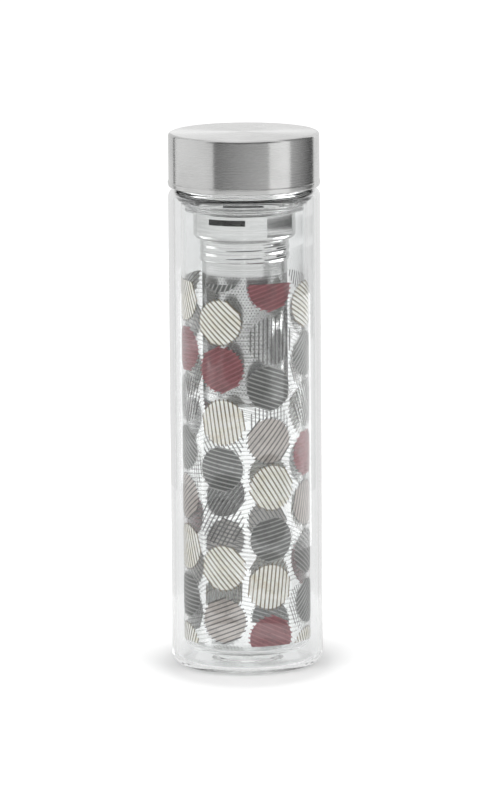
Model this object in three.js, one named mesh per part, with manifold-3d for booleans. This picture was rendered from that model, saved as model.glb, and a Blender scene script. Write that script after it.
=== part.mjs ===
// A double-wall glass bottle with a screw lid and a steel tea infuser in its mouth.
// Millimetres, +Z up, origin at the middle of the foot, -Y is the front.

import * as THREE from 'three';
import { mergeGeometries, mergeVertices } from 'three/addons/utils/BufferGeometryUtils.js';
import Module from 'manifold-3d';

const wasm = await Module();
wasm.setup();

// Clearances
const seatGap = 0.3;
const threadGap = 0.4;

// Outer wall
const bodyDiameter = 66;
const shoulderHeight = 209.2;
const outerWall = 2;
const outerBase = 2.4;
const baseInnerCorner = 3.5;
const shoulderInnerCorner = 1;
const puntDiameter = 30;
const puntDepth = 1;
const ventBeadDiameter = 6;
const ventBeadHeight = 0.6;

// Inner vessel
const jacketGap = 3.5;
const jacketBase = 3.8;
const innerWall = 1.2;
const innerBase = 1.6;
const innerCorner = 3.8;
const neckWall = 1.9;
const neckFlare = 2.5;
const rimRound = 0.6;

// Glass thread and the liner's thread
const lidPitch = 4;
const lidThreadTurns = 1.25;
const neckThreadDepth = 1.2;
const neckThreadWidth = 1.8;
const linerThreadWidth = 1.6;
const linerThreadLift = 1.3;

// Lid
const lidLift = 1.3;
const lidHeight = 23.5;
const lidSheet = 0.6;
const lidEdgeRadius = 1.4;
const hemHeight = 2.5;
const hemStep = 0.4;
const hemRound = 0.7;
const linerWall = 2.1;
const linerRoof = 2;
const linerInset = 0.7;
const gasketHeight = 1.6;
const gasketWidth = 4;
const plateHeight = 1;
const plateLip = 1.2;

// Infuser collar
const infuserSheet = 0.6;
const sealReach = 4;
const collarLength = 39;
const collarFlare = 3.2;
const flangeInset = 0.4;
const skirtInset = 2.8;
const skirtLength = 7.7;
const slotCount = 3;
const slotHeight = 2.6;
const slotSpan = THREE.MathUtils.degToRad(43);
const slotTurn = THREE.MathUtils.degToRad(-20.5);
const slotRise = 5.8;

// Infuser seal
const sealHeight = 6.5;
const sealSleeve = 1.5;
const sealLipRadius = 0.75;
const sealLipPitch = 2.9;
const sealLips = 2;

// Rolled thread between collar and basket
const basketPitch = 3.4;
const basketThreadTurns = 1;
const basketThreadDrop = 1.3;
const basketThreadBite = 0.35;
const basketThreadWidth = 1;

// Basket and strainer
const basketLength = 70;
const basketSheet = 0.5;
const basketCorner = 3;
const basketTopGap = 0.9;
const holeDiameter = 2;
const holeColumns = 12;
const holeRowPitch = 7;
const perforatedHeight = 50;
const floorHoleRings = 2;
const floorHolePitch = 5.4;
const holesPerRing = 6;
const strainerDepth = 2.4;
const strainerHoleDiameter = 2;

// Fineness of the round surfaces
const facets = 32;
const arcSteps = 2;
const holeSides = 6;
const beadSteps = 3;
const slotSteps = 3;

// Radii, from the outside of the bottle inwards and back out to the lid
const bodyRadius = bodyDiameter / 2;
const vesselRadius = bodyRadius - outerWall - jacketGap;
const boreRadius = vesselRadius - innerWall;
const neckRadius = boreRadius + neckWall;
const neckCrestRadius = neckRadius + neckThreadDepth;
const linerBoreRadius = neckCrestRadius + threadGap;
const linerRadius = linerBoreRadius + linerWall;
const lidRadius = linerRadius + seatGap + lidSheet;
const collarRadius = boreRadius - sealReach;
const skirtRadius = collarRadius - skirtInset;
const skirtBoreRadius = skirtRadius - infuserSheet;
const basketRadius = skirtBoreRadius - threadGap;
const basketBoreRadius = basketRadius - basketSheet;
const holePinLength = 4 * basketSheet;

// Heights, from the foot up to the lid and then down the infuser
const vesselUnderside = outerBase + puntDepth + jacketBase;
const vesselFloor = vesselUnderside + innerBase;
const lidBottom = shoulderHeight + lidLift;
const lidTop = lidBottom + lidHeight;
const linerTop = lidTop - lidSheet - seatGap;
const linerCeiling = linerTop - linerRoof;
const linerBottom = lidBottom + linerInset;
const gasketTop = linerCeiling - seatGap;
const flangeTop = gasketTop - gasketHeight - seatGap;
const flangeBottom = flangeTop - infuserSheet;
const neckRim = flangeBottom - seatGap;
const collarFoot = flangeBottom - collarLength;
const skirtTop = collarFoot - skirtInset;
const skirtBottom = skirtTop - skirtLength;
const slotBottom = collarFoot + slotRise;
const sealBottom = slotBottom + slotHeight + seatGap;
const basketTop = skirtTop - basketTopGap;
const basketBottom = basketTop - basketLength;
const basketThreadHeight = basketTop - basketThreadDrop - basketThreadTurns * basketPitch;

// Joins equal corners and leaves out triangles that have shrunk to a line
function welded(geometry) {
  const bare = geometry.clone();
  bare.deleteAttribute('normal');
  bare.deleteAttribute('uv');
  const merged = mergeVertices(bare);
  const corners = merged.index.array;
  const kept = [];
  for (let i = 0; i < corners.length; i += 3) {
    const [a, b, c] = corners.subarray(i, i + 3);
    const isFlat = a === b || b === c || c === a;
    if (!isFlat) {
      kept.push(a, b, c);
    }
  }
  merged.setIndex(kept);
  return merged;
}

// A closed geometry as a solid that can be joined and cut
function solid(geometry) {
  const shared = welded(geometry);
  const vertProperties = new Float32Array(shared.getAttribute('position').array);
  const triVerts = new Uint32Array(shared.index.array);
  return new wasm.Manifold(new wasm.Mesh({ numProp: 3, vertProperties, triVerts }));
}

// A joined or cut solid as a geometry again
function geometryOf(body) {
  const mesh = body.getMesh();
  const geometry = new THREE.BufferGeometry();
  geometry.setAttribute('position', new THREE.BufferAttribute(mesh.vertProperties, 3));
  geometry.setIndex(new THREE.BufferAttribute(mesh.triVerts, 1));
  return geometry;
}

// Revolves an outline of (radius, height) about the Z axis, its outside drawn upwards
function turned(outline) {
  const geometry = new THREE.LatheGeometry(outline.getPoints(arcSteps), facets);
  geometry.rotateX(Math.PI / 2);
  return welded(geometry);
}

// Sweeps a closed section of (radius, height) up a right-hand helix about the Z axis,
// in steps that line up with the facets of the turned pieces
function helix(section, pitch, startHeight, startTurns, endTurns) {
  const firstStep = Math.floor(startTurns * facets);
  const steps = Math.ceil(endTurns * facets) - firstStep;
  const count = section.length;
  const positions = [];
  const corners = [];
  for (let step = 0; step <= steps; step += 1) {
    const turns = (firstStep + step) / facets;
    const angle = turns * 2 * Math.PI;
    for (const point of section) {
      const height = startHeight + turns * pitch + point.y;
      positions.push(point.x * Math.cos(angle), point.x * Math.sin(angle), height);
    }
  }
  for (let step = 0; step < steps; step += 1) {
    for (let k = 0; k < count; k += 1) {
      const a = step * count + k;
      const b = step * count + ((k + 1) % count);
      corners.push(a, a + count, b + count, a, b + count, b);
    }
  }
  const last = steps * count;
  for (let k = 1; k < count - 1; k += 1) {
    corners.push(0, k, k + 1);
    corners.push(last, last + k + 1, last + k);
  }
  const geometry = new THREE.BufferGeometry();
  geometry.setAttribute('position', new THREE.Float32BufferAttribute(positions, 3));
  geometry.setIndex(corners);
  return geometry;
}

// A thread ridge's section: wide at its root, half as wide at its crest
function ridgeSection(rootRadius, crestRadius, width) {
  const crestWidth = width / 2;
  const points = [
    new THREE.Vector2(rootRadius, -width / 2),
    new THREE.Vector2(crestRadius, -crestWidth / 2),
    new THREE.Vector2(crestRadius, crestWidth / 2),
    new THREE.Vector2(rootRadius, width / 2),
  ];
  return crestRadius > rootRadius ? points : points.reverse();
}

// A rolled bead's section: half an oval that bulges outwards, with a flat back behind its middle
function beadSection(middleRadius, back, reach, halfWidth) {
  const oval = new THREE.EllipseCurve(middleRadius, 0, reach, halfWidth, -Math.PI / 2, Math.PI / 2);
  const points = oval.getPoints(beadSteps);
  points.push(new THREE.Vector2(middleRadius - back, halfWidth));
  points.push(new THREE.Vector2(middleRadius - back, -halfWidth));
  return points;
}

// Pins that cut a round hole each, from a list of places and directions
function holePins(diameter, length, places) {
  const pins = places.map(({ point, direction }) => {
    const pin = new THREE.CylinderGeometry(diameter / 2, diameter / 2, length, holeSides);
    const turn = new THREE.Quaternion().setFromUnitVectors(new THREE.Vector3(0, 1, 0), direction);
    pin.applyQuaternion(turn);
    pin.translate(point.x, point.y, point.z);
    return pin;
  });
  return solid(mergeGeometries(pins));
}

// Places for holes in a flat disc: one in the middle and rings of six, twelve and so on
function discPlaces(rings, pitch, height) {
  const direction = new THREE.Vector3(0, 0, 1);
  const places = [{ point: new THREE.Vector3(0, 0, height), direction }];
  for (let ring = 1; ring <= rings; ring += 1) {
    const count = ring * holesPerRing;
    const radius = ring * pitch;
    for (let k = 0; k < count; k += 1) {
      const angle = (k / count) * 2 * Math.PI;
      const point = new THREE.Vector3(radius * Math.cos(angle), radius * Math.sin(angle), height);
      places.push({ point, direction });
    }
  }
  return places;
}

function outerGlass() {
  const baseCorner = baseInnerCorner + outerWall;
  const shoulderCorner = shoulderInnerCorner + outerWall;
  const innerRadius = bodyRadius - outerWall;
  const mouthRadius = neckRadius + seatGap;
  const beadRadius = ventBeadDiameter / 2;
  const puntRadius = puntDiameter / 2;
  const shoulderCentre = shoulderHeight - shoulderCorner;
  const outline = new THREE.Path();
  outline.moveTo(0, puntDepth - ventBeadHeight);
  outline.quadraticCurveTo(beadRadius, puntDepth - ventBeadHeight, beadRadius, puntDepth);
  outline.lineTo(puntRadius - puntDepth, puntDepth);
  outline.lineTo(puntRadius, 0);
  outline.absarc(bodyRadius - baseCorner, baseCorner, baseCorner, -Math.PI / 2, 0, false);
  outline.absarc(bodyRadius - shoulderCorner, shoulderCentre, shoulderCorner, 0, Math.PI / 2, false);
  outline.lineTo(mouthRadius, shoulderHeight);
  outline.lineTo(mouthRadius, shoulderHeight - outerWall);
  outline.absarc(bodyRadius - shoulderCorner, shoulderCentre, shoulderInnerCorner, Math.PI / 2, 0, true);
  const floorCentre = outerBase + baseInnerCorner;
  outline.absarc(innerRadius - baseInnerCorner, floorCentre, baseInnerCorner, 0, -Math.PI / 2, true);
  outline.lineTo(puntRadius, outerBase);
  outline.lineTo(puntRadius - puntDepth, outerBase + puntDepth);
  outline.lineTo(0, outerBase + puntDepth);
  return turned(outline);
}

function innerGlass() {
  const outerCorner = innerCorner + innerWall;
  const cornerRadius = vesselRadius - outerCorner;
  const flareTop = shoulderHeight - outerWall - seatGap;
  const outline = new THREE.Path();
  outline.moveTo(0, vesselUnderside);
  outline.lineTo(cornerRadius, vesselUnderside);
  outline.absarc(cornerRadius, vesselUnderside + outerCorner, outerCorner, -Math.PI / 2, 0, false);
  outline.lineTo(vesselRadius, flareTop - neckFlare);
  outline.lineTo(neckRadius, flareTop);
  outline.absarc(neckRadius - rimRound, neckRim - rimRound, rimRound, 0, Math.PI / 2, false);
  outline.absarc(boreRadius + rimRound, neckRim - rimRound, rimRound, Math.PI / 2, Math.PI, false);
  outline.absarc(boreRadius - innerCorner, vesselFloor + innerCorner, innerCorner, 0, -Math.PI / 2, true);
  outline.lineTo(0, vesselFloor);
  const threadStart = linerBottom + linerThreadLift + lidPitch / 2;
  const section = ridgeSection(neckRadius - neckWall / 2, neckCrestRadius, neckThreadWidth);
  const thread = helix(section, lidPitch, threadStart, 0, lidThreadTurns);
  return geometryOf(solid(turned(outline)).add(solid(thread)));
}

function lidShell() {
  const hemRadius = lidRadius + hemStep;
  const innerRadius = lidRadius - lidSheet;
  const innerEdge = lidEdgeRadius - lidSheet;
  const edgeCentre = lidTop - lidEdgeRadius;
  const hemTop = lidBottom + hemHeight;
  const outline = new THREE.Path();
  outline.moveTo(0, lidTop - lidSheet);
  outline.lineTo(lidRadius - lidEdgeRadius, lidTop - lidSheet);
  outline.absarc(lidRadius - lidEdgeRadius, edgeCentre, innerEdge, Math.PI / 2, 0, true);
  outline.lineTo(innerRadius, lidBottom);
  outline.absarc(hemRadius - hemRound, lidBottom + hemRound, hemRound, -Math.PI / 2, 0, false);
  outline.lineTo(hemRadius, hemTop - hemStep);
  outline.lineTo(lidRadius, hemTop);
  outline.absarc(lidRadius - lidEdgeRadius, edgeCentre, lidEdgeRadius, 0, Math.PI / 2, false);
  outline.lineTo(0, lidTop);
  return turned(outline);
}

function lidLiner() {
  const outline = new THREE.Path();
  outline.moveTo(0, linerCeiling);
  outline.lineTo(linerBoreRadius, linerCeiling);
  outline.lineTo(linerBoreRadius, linerBottom);
  outline.lineTo(linerRadius, linerBottom);
  outline.lineTo(linerRadius, linerTop - lidEdgeRadius);
  outline.lineTo(linerRadius - lidEdgeRadius, linerTop);
  outline.lineTo(0, linerTop);
  const threadStart = linerBottom + linerThreadLift;
  const section = ridgeSection(linerBoreRadius + linerWall / 2, neckRadius + threadGap, linerThreadWidth);
  const thread = helix(section, lidPitch, threadStart, 0, lidThreadTurns);
  return geometryOf(solid(turned(outline)).add(solid(thread)));
}

function lidGasket() {
  const outline = new THREE.Path();
  outline.moveTo(neckRadius - gasketWidth, gasketTop - gasketHeight);
  outline.lineTo(neckRadius, gasketTop - gasketHeight);
  outline.lineTo(neckRadius, gasketTop);
  outline.lineTo(neckRadius - gasketWidth, gasketTop);
  outline.closePath();
  return turned(outline);
}

function lidInnerPlate() {
  const plateRadius = neckRadius - gasketWidth - seatGap;
  const outline = new THREE.Path();
  outline.moveTo(0, gasketTop - plateHeight / 2);
  outline.lineTo(plateRadius - plateLip, gasketTop - plateHeight / 2);
  outline.lineTo(plateRadius - plateLip, gasketTop - plateHeight);
  outline.lineTo(plateRadius, gasketTop - plateHeight);
  outline.lineTo(plateRadius, gasketTop);
  outline.lineTo(0, gasketTop);
  return turned(outline);
}

// The curved blocks that cut the pouring slots through the collar's wall
function slotCutters() {
  const outside = collarRadius + infuserSheet;
  const inside = collarRadius - 2 * infuserSheet;
  const cutters = [];
  for (let k = 0; k < slotCount; k += 1) {
    const middle = slotTurn - Math.PI / 2 + (k / slotCount) * 2 * Math.PI;
    const block = new THREE.Shape();
    block.absarc(0, 0, outside, middle - slotSpan / 2, middle + slotSpan / 2, false);
    block.absarc(0, 0, inside, middle + slotSpan / 2, middle - slotSpan / 2, true);
    block.closePath();
    const options = { depth: slotHeight, bevelEnabled: false, curveSegments: slotSteps };
    const cutter = new THREE.ExtrudeGeometry(block, options);
    cutter.translate(0, 0, slotBottom);
    cutters.push(cutter);
  }
  return solid(mergeGeometries(cutters));
}

function collarBody() {
  const flangeRadius = neckRadius - flangeInset;
  const flareBottom = flangeBottom - collarFlare;
  const boreOfCollar = collarRadius - infuserSheet;
  const flareRadius = collarRadius + collarFlare;
  const shelf = skirtTop + infuserSheet;
  const outline = new THREE.Path();
  outline.moveTo(skirtBoreRadius, skirtBottom);
  outline.lineTo(skirtRadius, skirtBottom);
  outline.lineTo(skirtRadius, skirtTop);
  outline.absarc(skirtRadius, collarFoot, skirtInset, -Math.PI / 2, 0, false);
  outline.absarc(flareRadius, flareBottom, collarFlare, Math.PI, Math.PI / 2, true);
  outline.lineTo(flangeRadius, flangeBottom);
  outline.lineTo(flangeRadius, flangeTop);
  outline.absarc(flareRadius, flareBottom, collarFlare + infuserSheet, Math.PI / 2, Math.PI, false);
  outline.lineTo(boreOfCollar, collarFoot);
  outline.absarc(skirtRadius, collarFoot, skirtInset - infuserSheet, 0, -Math.PI / 2, true);
  outline.lineTo(skirtBoreRadius, shelf);
  outline.closePath();
  return solid(turned(outline));
}

function infuserCollar() {
  const grooveReach = basketThreadBite + threadGap;
  const grooveHalfWidth = basketThreadWidth / 2 + threadGap;
  const halfSheet = infuserSheet / 2;
  const beadHalfWidth = grooveHalfWidth + halfSheet;
  const overrun = threadGap / basketPitch;
  const start = (skirtBottom - beadHalfWidth - basketThreadHeight) / basketPitch - overrun;
  const end = basketThreadTurns + overrun;
  const groove = beadSection(skirtBoreRadius, threadGap, grooveReach, grooveHalfWidth);
  const beadRadius = skirtBoreRadius + halfSheet;
  const bead = beadSection(beadRadius, halfSheet / 2, grooveReach + halfSheet, beadHalfWidth);
  const rolledOut = solid(helix(bead, basketPitch, basketThreadHeight, start - overrun, end + overrun));
  const rolledIn = solid(helix(groove, basketPitch, basketThreadHeight, start, end));
  const trimHeight = 4 * basketPitch;
  const trim = new THREE.BoxGeometry(3 * skirtRadius, 3 * skirtRadius, trimHeight);
  trim.translate(0, 0, skirtBottom - trimHeight / 2);
  const body = collarBody().add(rolledOut).subtract(rolledIn).subtract(solid(trim));
  return geometryOf(body.subtract(slotCutters()));
}

function infuserSeal() {
  const innerRadius = collarRadius + seatGap;
  const sleeveRadius = innerRadius + sealSleeve;
  const lipCentre = boreRadius - seatGap - sealLipRadius;
  const sealTop = sealBottom + sealHeight;
  const outline = new THREE.Path();
  outline.moveTo(innerRadius, sealBottom);
  outline.lineTo(sleeveRadius, sealBottom);
  for (let lip = 0; lip < sealLips; lip += 1) {
    const height = sealBottom + sealLipRadius + seatGap + lip * sealLipPitch;
    outline.lineTo(sleeveRadius, height - sealLipRadius);
    outline.absarc(lipCentre, height, sealLipRadius, -Math.PI / 2, Math.PI / 2, false);
    outline.lineTo(sleeveRadius, height + sealLipRadius);
  }
  outline.lineTo(sleeveRadius, sealTop);
  outline.lineTo(innerRadius, sealTop);
  outline.closePath();
  return turned(outline);
}

// Places for the holes in the basket's wall, in staggered rows
function wallPlaces() {
  const rows = Math.floor(perforatedHeight / holeRowPitch) + 1;
  const lowest = basketBottom + basketCorner + holeDiameter;
  const places = [];
  for (let row = 0; row < rows; row += 1) {
    for (let column = 0; column < holeColumns; column += 1) {
      const angle = ((column + (row % 2) / 2) / holeColumns) * 2 * Math.PI;
      const direction = new THREE.Vector3(Math.cos(angle), Math.sin(angle), 0);
      const point = direction.clone().multiplyScalar(basketRadius);
      point.z = lowest + row * holeRowPitch;
      places.push({ point, direction });
    }
  }
  return places;
}

function infuserBasket() {
  const boreCorner = basketCorner - basketSheet;
  const cornerCentre = basketBottom + basketCorner;
  const outline = new THREE.Path();
  outline.moveTo(0, basketBottom);
  outline.lineTo(basketRadius - basketCorner, basketBottom);
  outline.absarc(basketRadius - basketCorner, cornerCentre, basketCorner, -Math.PI / 2, 0, false);
  outline.lineTo(basketRadius, basketTop);
  outline.lineTo(basketBoreRadius, basketTop);
  outline.absarc(basketRadius - basketCorner, cornerCentre, boreCorner, 0, -Math.PI / 2, true);
  outline.lineTo(0, basketBottom + basketSheet);
  const crestRadius = skirtBoreRadius + basketThreadBite;
  const section = ridgeSection(basketRadius - basketSheet / 2, crestRadius, basketThreadWidth);
  const thread = solid(helix(section, basketPitch, basketThreadHeight, 0, basketThreadTurns));
  const floorPlaces = discPlaces(floorHoleRings, floorHolePitch, basketBottom);
  const wallHoles = holePins(holeDiameter, holePinLength, wallPlaces());
  const floorHoles = holePins(holeDiameter, holePinLength, floorPlaces);
  const cup = solid(turned(outline)).subtract(wallHoles).subtract(floorHoles);
  return geometryOf(cup.add(thread));
}

function infuserStrainer() {
  const rimHeight = basketTop + seatGap;
  const dishRadius = basketBoreRadius - seatGap;
  const dishFloor = rimHeight - strainerDepth;
  const outline = new THREE.Path();
  outline.moveTo(0, dishFloor);
  outline.lineTo(dishRadius, dishFloor);
  outline.lineTo(dishRadius, rimHeight);
  outline.lineTo(basketRadius, rimHeight);
  outline.lineTo(basketRadius, rimHeight + basketSheet);
  outline.lineTo(dishRadius - basketSheet, rimHeight + basketSheet);
  outline.lineTo(dishRadius - basketSheet, dishFloor + basketSheet);
  outline.lineTo(0, dishFloor + basketSheet);
  const places = discPlaces(floorHoleRings, floorHolePitch, dishFloor);
  const holes = holePins(strainerHoleDiameter, holePinLength, places);
  return geometryOf(solid(turned(outline)).subtract(holes));
}

// Finishes
const glass = { color: 0xeaf0f0, roughness: 0.04, metalness: 0, transparent: true, opacity: 0.35 };
const brushedSteel = { color: 0xb6b6b4, roughness: 0.38, metalness: 1 };
const polishedSteel = { color: 0xc8c8c6, roughness: 0.12, metalness: 1 };
const linerPlastic = { color: 0x2b2b2d, roughness: 0.5, metalness: 0 };
const silicone = { color: 0xe4e6e4, roughness: 0.45, metalness: 0 };

const bottle = new THREE.Group();

function add(name, geometry, finish) {
  const mesh = new THREE.Mesh(geometry, new THREE.MeshStandardMaterial(finish));
  mesh.name = name;
  bottle.add(mesh);
}

add('outer_glass', outerGlass(), glass);
add('inner_glass', innerGlass(), glass);
add('lid_shell', lidShell(), brushedSteel);
add('lid_liner', lidLiner(), linerPlastic);
add('lid_gasket', lidGasket(), silicone);
add('lid_inner_plate', lidInnerPlate(), polishedSteel);
add('infuser_collar', infuserCollar(), polishedSteel);
add('infuser_seal', infuserSeal(), silicone);
add('infuser_strainer', infuserStrainer(), polishedSteel);
add('infuser_basket', infuserBasket(), polishedSteel);

export default bottle;
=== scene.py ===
import math

import bmesh
import bpy
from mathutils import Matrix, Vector


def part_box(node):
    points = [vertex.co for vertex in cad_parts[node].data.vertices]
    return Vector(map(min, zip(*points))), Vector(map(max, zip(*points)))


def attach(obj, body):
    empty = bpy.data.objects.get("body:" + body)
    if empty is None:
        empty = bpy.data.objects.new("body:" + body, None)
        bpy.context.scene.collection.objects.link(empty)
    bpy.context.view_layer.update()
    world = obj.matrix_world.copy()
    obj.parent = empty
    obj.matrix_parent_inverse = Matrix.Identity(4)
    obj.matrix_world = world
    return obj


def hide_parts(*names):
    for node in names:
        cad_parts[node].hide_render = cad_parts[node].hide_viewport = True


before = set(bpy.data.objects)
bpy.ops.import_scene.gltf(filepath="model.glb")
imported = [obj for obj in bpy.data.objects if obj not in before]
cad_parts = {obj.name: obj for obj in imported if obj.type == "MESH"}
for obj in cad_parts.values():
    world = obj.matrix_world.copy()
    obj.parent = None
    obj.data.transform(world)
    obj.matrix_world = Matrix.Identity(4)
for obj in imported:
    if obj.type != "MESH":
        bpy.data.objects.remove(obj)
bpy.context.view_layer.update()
mm = 0.001
near = 0.01  # mm within which two places count as one
fullTurn = 2 * math.pi
tipped = (math.pi / 2, 0, 0)  # a quarter turn about X
scene = bpy.context.scene
print("frame loaded with", len(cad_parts), "nodes")


# Sizes of the round CAD nodes, in millimetres

def sizeOf(node):  # radius, bottom and top
    low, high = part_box(node)
    return high.x / mm, low.z / mm, high.z / mm


bodyRadius, footHeight, shoulderTop = sizeOf("outer_glass")
_, vesselUnderside, neckRim = sizeOf("inner_glass")
hemRadius, lidBottom, lidTop = sizeOf("lid_shell")
linerRadius, linerBottom, linerTop = sizeOf("lid_liner")
gasketRadius, gasketBottom, gasketTop = sizeOf("lid_gasket")
plateRadius, plateBottom, plateTop = sizeOf("lid_inner_plate")
flangeRadius, skirtBottom, flangeTop = sizeOf("infuser_collar")
sealRadius, _, sealTop = sizeOf("infuser_seal")
basketRadius, strainerBottom, strainerTop = sizeOf("infuser_strainer")
_, basketBottom, basketTop = sizeOf("infuser_basket")


# Modelling helpers

def deselectAll():
    bpy.ops.object.select_all(action="DESELECT")


def makeActive(piece):
    deselectAll()
    piece.select_set(True)
    bpy.context.view_layer.objects.active = piece


def selectAll():
    bpy.ops.mesh.select_all(action="SELECT")


def applyPlace():  # moves the active object's place and turn into its mesh
    bpy.ops.object.transform_apply(location=True, rotation=True, scale=True)


def openPiece(piece, part="VERT"):
    makeActive(piece)
    bpy.ops.object.mode_set(mode="EDIT")
    bpy.ops.mesh.select_mode(type=part)
    bpy.ops.mesh.select_all(action="DESELECT")


def closePiece():
    bpy.ops.object.mode_set(mode="OBJECT")


def flipFaces(piece):
    openPiece(piece)
    selectAll()
    bpy.ops.mesh.flip_normals()
    closePiece()


def pickVerts(test):  # selects the vertices that pass a test on their place in mm
    mesh = bpy.context.edit_object.data
    form = bmesh.from_edit_mesh(mesh)
    for vert in form.verts:
        vert.select_set(test(*(vert.co / mm)))
    form.select_flush_mode()
    bmesh.update_edit_mesh(mesh)


def pickFaces(test):  # selects the faces that pass a test on their middle in mm
    mesh = bpy.context.edit_object.data
    form = bmesh.from_edit_mesh(mesh)
    for face in form.faces:
        face.select_set(test(*(face.calc_center_median() / mm)))
    bmesh.update_edit_mesh(mesh)


def weld(reach=0.001, outwards=True):  # merges doubles, and turns all faces outwards on a closed shell
    selectAll()
    bpy.ops.mesh.remove_doubles(threshold=reach * mm)
    if outwards:
        bpy.ops.mesh.normals_make_consistent(inside=False)


def applyModifier(piece, kind, **settings):
    modifier = piece.modifiers.new(kind.lower(), kind)
    for setting, value in settings.items():
        setattr(modifier, setting, value)
    makeActive(piece)
    bpy.ops.object.modifier_apply(modifier=modifier.name)


def cornerReach(before, corner, after, radius):  # from a corner to where its round begins
    toBefore = Vector(before[:2]) - Vector(corner[:2])
    toAfter = Vector(after[:2]) - Vector(corner[:2])
    return radius / math.tan(toBefore.angle(toAfter) / 2)


def startPoint(name, place):  # one vertex to extrude from, in a mesh that is left open
    deselectAll()
    bpy.ops.mesh.primitive_plane_add(size=mm)
    piece = bpy.context.object
    piece.name = name
    bpy.ops.object.mode_set(mode="EDIT")
    bpy.ops.mesh.select_mode(type="VERT")
    bpy.ops.mesh.merge(type="CENTER")
    bpy.ops.transform.translate(value=place)
    return piece


def startCircle(name, radius, corners, fill):  # an upright circle round the origin
    deselectAll()
    bpy.ops.mesh.primitive_circle_add(vertices=corners, radius=radius * mm, fill_type=fill, rotation=tipped)
    piece = bpy.context.object
    piece.name = name
    applyPlace()
    return piece


def drawOutline(name, points, roundSteps=6):  # points are (radius, height) or (radius, height, round)
    piece = startPoint(name, (points[0][0] * mm, 0, points[0][1] * mm))
    for last, point in zip(points, points[1:]):
        step = ((point[0] - last[0]) * mm, 0, (point[1] - last[1]) * mm)
        bpy.ops.mesh.extrude_region_move(TRANSFORM_OT_translate={"value": step})
    for before, corner, after in zip(points, points[1:], points[2:]):
        if len(corner) == 3:
            pickVerts(lambda x, y, z: math.hypot(x - corner[0], z - corner[1]) < near / 10)
            reach = cornerReach(before, corner, after, corner[2])
            bpy.ops.mesh.bevel(offset=reach * mm, segments=roundSteps, affect="VERTICES")
    return piece


def addRows(radius, low, high, rows):  # cuts an outline's straight stretch into rows for a thread
    pickVerts(lambda x, y, z: abs(x - radius) < near and low - near < z < high + near)
    bpy.ops.mesh.subdivide(number_cuts=rows)


def spinOutline(steps=128):
    selectAll()
    bpy.ops.mesh.spin(steps=steps, angle=fullTurn, center=(0, 0, 0), axis=(0, 0, 1))
    weld()
    closePiece()


def turnPiece(name, points, roundSteps=6, steps=128):
    piece = drawOutline(name, points, roundSteps)
    spinOutline(steps)
    return piece


def threadLift(thread, angle, height):  # share of a thread's reach at a place on its wall
    lift = 0
    for whole in range(thread["firstTurn"], thread["lastTurn"] + 1):
        turns = angle / fullTurn + whole
        away = abs(height - thread["start"] - turns * thread["pitch"])
        flank = (thread["rootHalf"] - away) / (thread["rootHalf"] - thread["crestHalf"])
        begin = (turns - thread["from"]) / thread["fade"]
        end = (thread["to"] - turns) / thread["fade"]
        share = max(0, min(1, flank)) * max(0, min(1, begin, end))
        lift = max(lift, share)
    return lift * lift * (3 - 2 * lift)


def rollThread(piece, thread):  # pushes a right-hand thread out of a round wall, or into it
    for vert in piece.data.vertices:
        x, y, z = vert.co / mm
        radius = math.hypot(x, y)
        inWall = thread["inner"] - near < radius < thread["outer"] + near
        if inWall and thread["low"] < z < thread["high"]:
            lift = threadLift(thread, math.atan2(y, x) % fullTurn, z)
            grown = (radius + thread["reach"] * lift) / radius
            vert.co.x *= grown
            vert.co.y *= grown


def joinPieces(pieces):
    makeActive(pieces[0])
    for piece in pieces[1:]:
        piece.select_set(True)
    bpy.ops.object.join()
    return pieces[0]


def bendRound(sheet, radius, rise=0):  # bends a flat sheet into a tube round the axis, and leaves it open
    places = [vert.co.x for vert in sheet.data.vertices]
    spread = (max(places) - min(places)) / (radius * mm)
    applyModifier(sheet, "SIMPLE_DEFORM", deform_method="BEND", deform_axis="Z", angle=spread)
    openPiece(sheet)
    selectAll()
    bpy.ops.transform.translate(value=(0, -radius * mm, rise * mm))


def finishPiece(piece, body, nodes, materials, sharpAngle=35):
    makeActive(piece)
    piece.data.materials.clear()
    for material in materials:
        piece.data.materials.append(material)
    bpy.ops.object.shade_smooth_by_angle(angle=math.radians(sharpAngle))
    applyModifier(piece, "WEIGHTED_NORMAL", weight=80, keep_sharp=True)
    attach(piece, body)
    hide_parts(*nodes)
    print(piece.name, "done,", len(piece.data.polygons), "faces")


# Material helpers

def startMaterial(name):
    material = bpy.data.materials.new(name)
    material.use_nodes = True
    return material, material.node_tree.nodes["Principled BSDF"]


def setInputs(material, node, inputs):  # links the values that are sockets, and sets the constant ones
    for socket, value in inputs.items():
        if isinstance(value, bpy.types.NodeSocket):
            material.node_tree.links.new(value, node.inputs[socket])
        else:
            node.inputs[socket].default_value = value


def addNode(material, kind, inputs=None, **settings):
    node = material.node_tree.nodes.new(kind)
    for setting, value in settings.items():
        setattr(node, setting, value)
    setInputs(material, node, inputs or {})
    return node


def reckon(material, operation, *values):
    return addNode(material, "ShaderNodeMath", dict(enumerate(values)), operation=operation).outputs[0]


def reckonVector(material, operation, *values):
    return addNode(material, "ShaderNodeVectorMath", dict(enumerate(values)), operation=operation)


def showMix(material, share, first, second):  # shows a mix of two shaders as the surface
    mix = addNode(material, "ShaderNodeMixShader", {0: share, 1: first.outputs[0], 2: second.outputs[0]})
    setInputs(material, material.node_tree.nodes["Material Output"], {"Surface": mix.outputs[0]})


def objectPlace(material):
    return addNode(material, "ShaderNodeTexCoord").outputs["Object"]


def noiseOn(material, place, scale, detail=3.0, roughness=0.5):
    inputs = {"Vector": place, "Scale": scale, "Detail": detail, "Roughness": roughness}
    return addNode(material, "ShaderNodeTexNoise", inputs).outputs["Fac"]


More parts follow.
